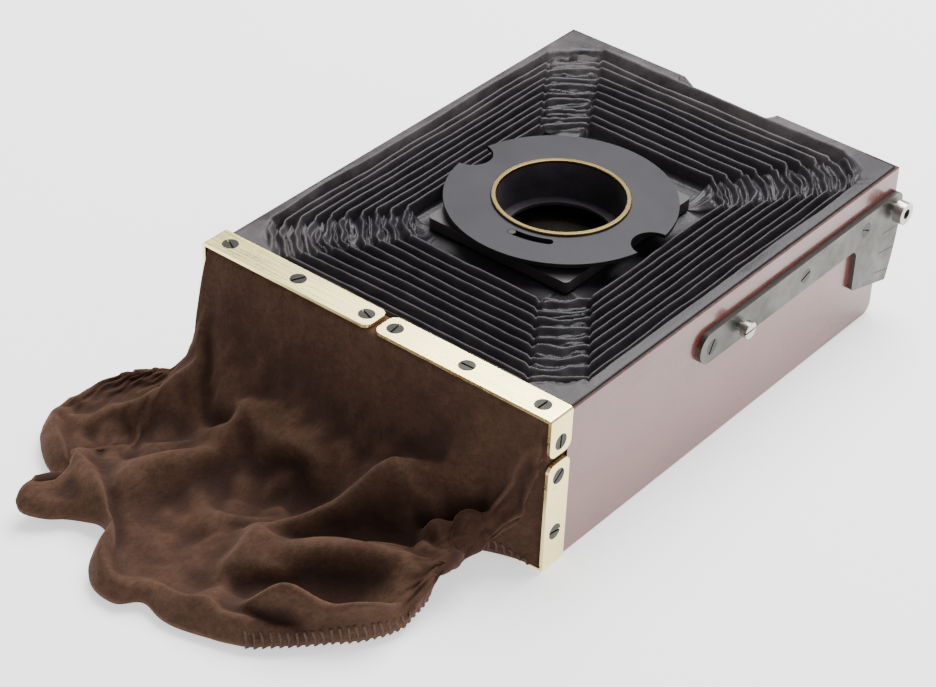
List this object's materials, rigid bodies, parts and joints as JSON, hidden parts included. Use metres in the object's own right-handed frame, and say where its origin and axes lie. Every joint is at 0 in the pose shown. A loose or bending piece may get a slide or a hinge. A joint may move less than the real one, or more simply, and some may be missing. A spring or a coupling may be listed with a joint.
{
  "type": "plate camera body with bag magazine",
  "caption": "Wooden plate camera body with folded leather bellows, lens flange with bayonet ring, dark slide, hinged back and a suede changing bag.",
  "frame": {"origin": "middle of the wooden box's back face, which it lies on", "axes": "+Z out through the lens, +Y from the changing bag to the dark slide's end, +X towards the side of the right bracket"},
  "size_m": [0.1499, 0.259, 0.0523],
  "materials": {
    "mahogany": "french polished",
    "ebonised_wood": "black stained, satin",
    "black_leather": "semi-gloss",
    "suede": "suede",
    "brass": "lacquered, pale",
    "rim_brass": "worn edge",
    "dark_screw": "blued",
    "bracket_steel": "dull nickel",
    "stud_steel": "polished",
    "black_metal": "matt black, edges worn bright",
    "vulcanite": "satin",
    "sheath_metal": "matt black",
    "glass": "emulsion coated",
    "velvet": "pile",
    "spring_steel": "bright"
  },
  "bodies": {
    "box": {"side_board_right": "mahogany", "side_board_left": "mahogany", "far_end_board": "mahogany", "far_end_block": "ebonised_wood", "slide_trap": "velvet", "buffer_block": "mahogany", "mouth_rail_front": "mahogany", "mouth_rail_back": "mahogany", "focal_frame": "ebonised_wood", "slide_guide": "ebonised_wood", "bellows_frame": "ebonised_wood", "plate_sheaths": "sheath_metal", "glass_plates": "glass", "hinge_leaves_box": "brass", "hinge_pins": "spring_steel", "bellows": "black_leather", "suede_bag": "suede", "strap_front_right": "brass", "strap_front_left": "brass", "strap_back_right": "brass", "strap_back_left": "brass", "strap_screws": "dark_screw", "bracket_right": "bracket_steel", "bracket_left": "bracket_steel", "pivot_stud_right": "stud_steel", "pivot_stud_left": "stud_steel", "end_stud_right": "stud_steel", "end_stud_left": "stud_steel", "bracket_screws": "dark_screw"},
    "front": {"front_board": "ebonised_wood", "flange_base": "black_metal", "stop_pin": "stud_steel", "lens_sleeve": "black_metal", "brass_rim": "rim_brass", "light_baffle": "black_metal"},
    "ring": {"lock_ring": "black_metal"},
    "slide": {"dark_slide": "vulcanite"},
    "changing_sheath": {"front_sheath": "sheath_metal", "front_glass": "glass"},
    "door": {"back_door": "mahogany", "hinge_leaves_door": "brass", "pressure_springs": "spring_steel"},
    "pressure": {"pressure_plate": "sheath_metal"}
  },
  "joints": [
    {"name": "bellows_extension", "type": "slide", "parent": "box", "child": "front", "axis": [0, 0, 1], "range_m": [0, 0.105], "deforming": ["bellows"]},
    {"name": "lock_ring_turn", "type": "hinge", "parent": "front", "child": "ring", "pos_m": [0, -0.0015, 0.0509], "axis": [0, 0, 1], "range_deg": [-28, 0]},
    {"name": "dark_slide_pull", "type": "slide", "parent": "box", "child": "slide", "axis": [0, 1, 0], "range_m": [0, 0.14]},
    {"name": "changing_sheath_slide", "type": "slide", "parent": "box", "child": "changing_sheath", "axis": [0, -1, 0], "range_m": [0, 0.02]},
    {"name": "back_door_hinge", "type": "hinge", "parent": "box", "child": "door", "pos_m": [-0.0562, 0, 0.00155], "axis": [0, 1, 0], "range_deg": [0, 100]},
    {"name": "pressure_plate_travel", "type": "slide", "parent": "door", "child": "pressure", "axis": [0, 0, -1], "range_m": [0, 0.0018], "stiffness_N_per_m": 1500, "springref_m": -0.004, "deforming": ["pressure_springs"]}
  ]
}
